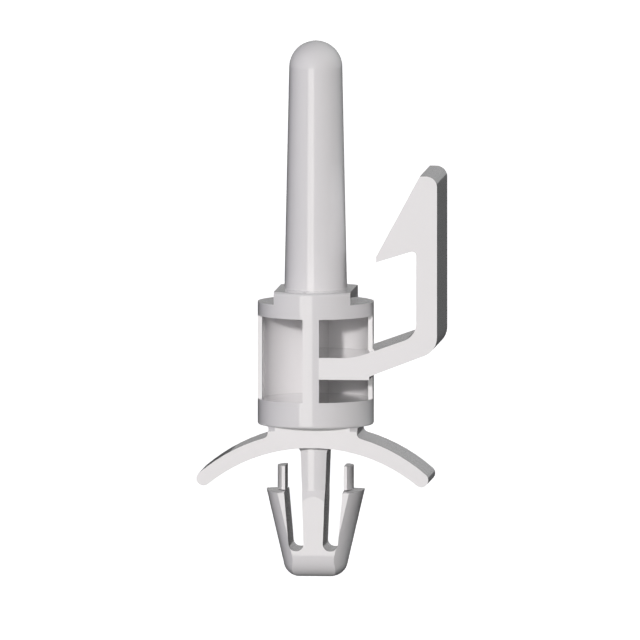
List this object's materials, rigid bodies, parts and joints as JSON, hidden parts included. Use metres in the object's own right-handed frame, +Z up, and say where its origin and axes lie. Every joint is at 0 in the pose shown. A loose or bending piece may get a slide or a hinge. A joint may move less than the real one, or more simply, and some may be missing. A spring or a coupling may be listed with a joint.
{
  "type": "pcb standoff",
  "caption": "One-piece nylon circuit-board support: split snap anchor, spring bow, windowed column with a board seat, tall guide pin and a barbed latch arm.",
  "frame": {"origin": "on the axis of the anchor and the column, level with the anchor's shoulders, which catch under the panel's lower face", "axes": "+Z up along the column to the guide pin's tip, +X from the axis to the latch arm, and the column's windows open towards -Y"},
  "size_m": [0.0145, 0.007, 0.032],
  "materials": {
    "nylon": "smooth moulded natural nylon, near white, with a soft gloss"
  },
  "bodies": {
    "root": {"standoff": "nylon"}
  },
  "joints": []
}
